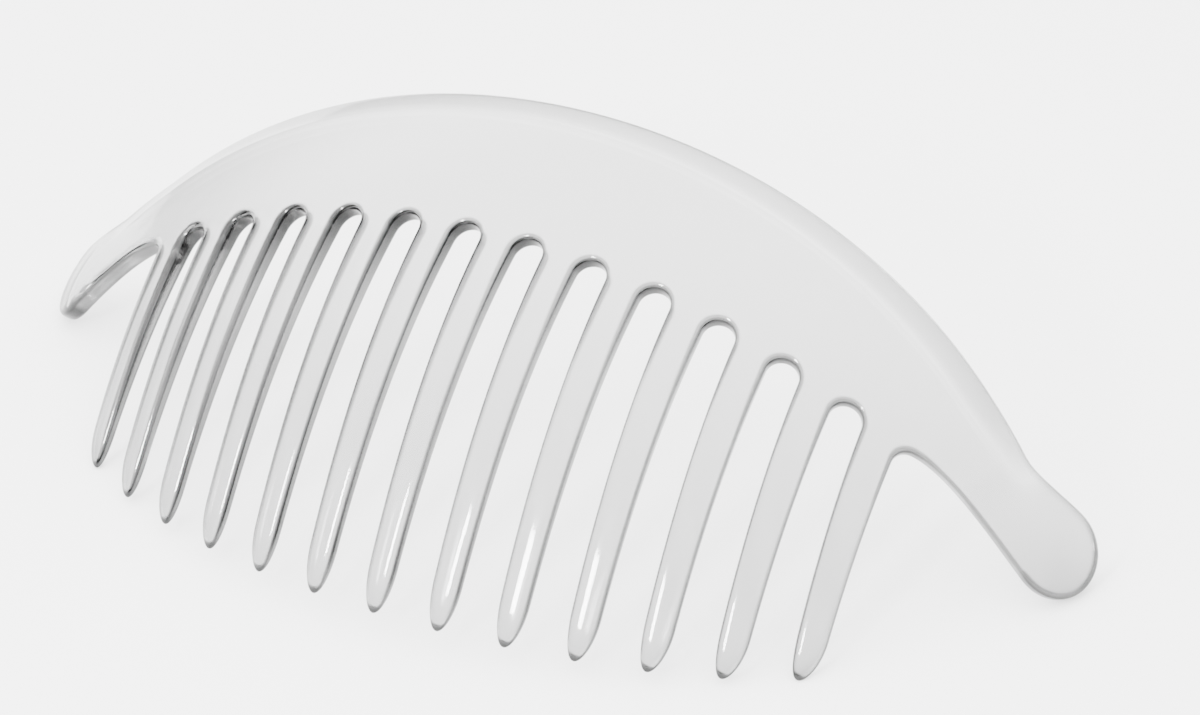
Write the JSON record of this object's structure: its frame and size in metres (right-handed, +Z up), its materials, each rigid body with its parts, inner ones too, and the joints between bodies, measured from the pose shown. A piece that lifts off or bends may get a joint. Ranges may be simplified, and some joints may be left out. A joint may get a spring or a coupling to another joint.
{
  "type": "curved hair side comb",
  "caption": "Curved side comb of clear plastic with a crowned spine, long tapered teeth and a round-ended arm at each side, lying arch up.",
  "frame": {"origin": "centre of the comb's box, on the surface that it rests on", "axes": "+X along the spine, +Y from the tooth tips towards the crown edge, +Z up out of the arch"},
  "size_m": [0.1018, 0.0394, 0.0256],
  "materials": {
    "clear_plastic": "colourless, transparent and polished"
  },
  "bodies": {
    "root": {"comb": "clear_plastic"}
  },
  "joints": []
}
